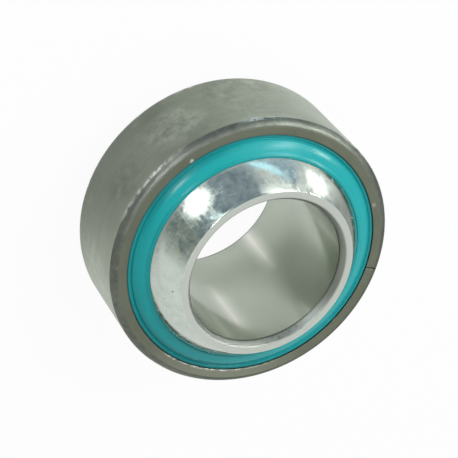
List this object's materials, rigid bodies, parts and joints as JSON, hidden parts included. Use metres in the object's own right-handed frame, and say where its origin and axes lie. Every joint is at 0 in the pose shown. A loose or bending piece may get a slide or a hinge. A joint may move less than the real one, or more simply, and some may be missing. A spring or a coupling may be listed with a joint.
{
  "type": "spherical plain bearing",
  "caption": "Sealed spherical plain bearing: a wide ball ring with a shaft bore swivels and tilts in a fractured outer ring with a lip seal at each end.",
  "frame": {"origin": "centre of the ball, which is the centre of both rings and of the bounding box", "axes": "+Z along the shaft bore, out of the front face; +X along the axis that the outer ring leans about, so that it leans 3.8 degrees towards -Y at rest"},
  "size_m": [0.055, 0.056, 0.032],
  "materials": {
    "chromed_steel": "hard chrome on the ball, polished; fine ground faces and bore",
    "bearing_steel": "satin, phosphated grey-green, with worn bright corners",
    "seal_rubber": "moulded teal elastomer, semi-gloss",
    "liner_fabric": "woven sliding fabric, matt"
  },
  "bodies": {
    "inner": {"inner_ring": "chromed_steel"},
    "liner": {"sliding_liner": "liner_fabric"},
    "outer": {"outer_ring": "bearing_steel", "front_seal": "seal_rubber", "rear_seal": "seal_rubber"}
  },
  "joints": [
    {"name": "outer_ring_tilt", "type": "hinge", "parent": "inner", "child": "liner", "pos_m": [0, 0, 0], "axis": [1, 0, 0], "range_deg": [-17.8, 10.2]},
    {"name": "outer_ring_turn", "type": "hinge", "parent": "liner", "child": "outer", "pos_m": [0, 0, 0], "axis": [0, -0.0663, 0.9978], "continuous": true}
  ]
}
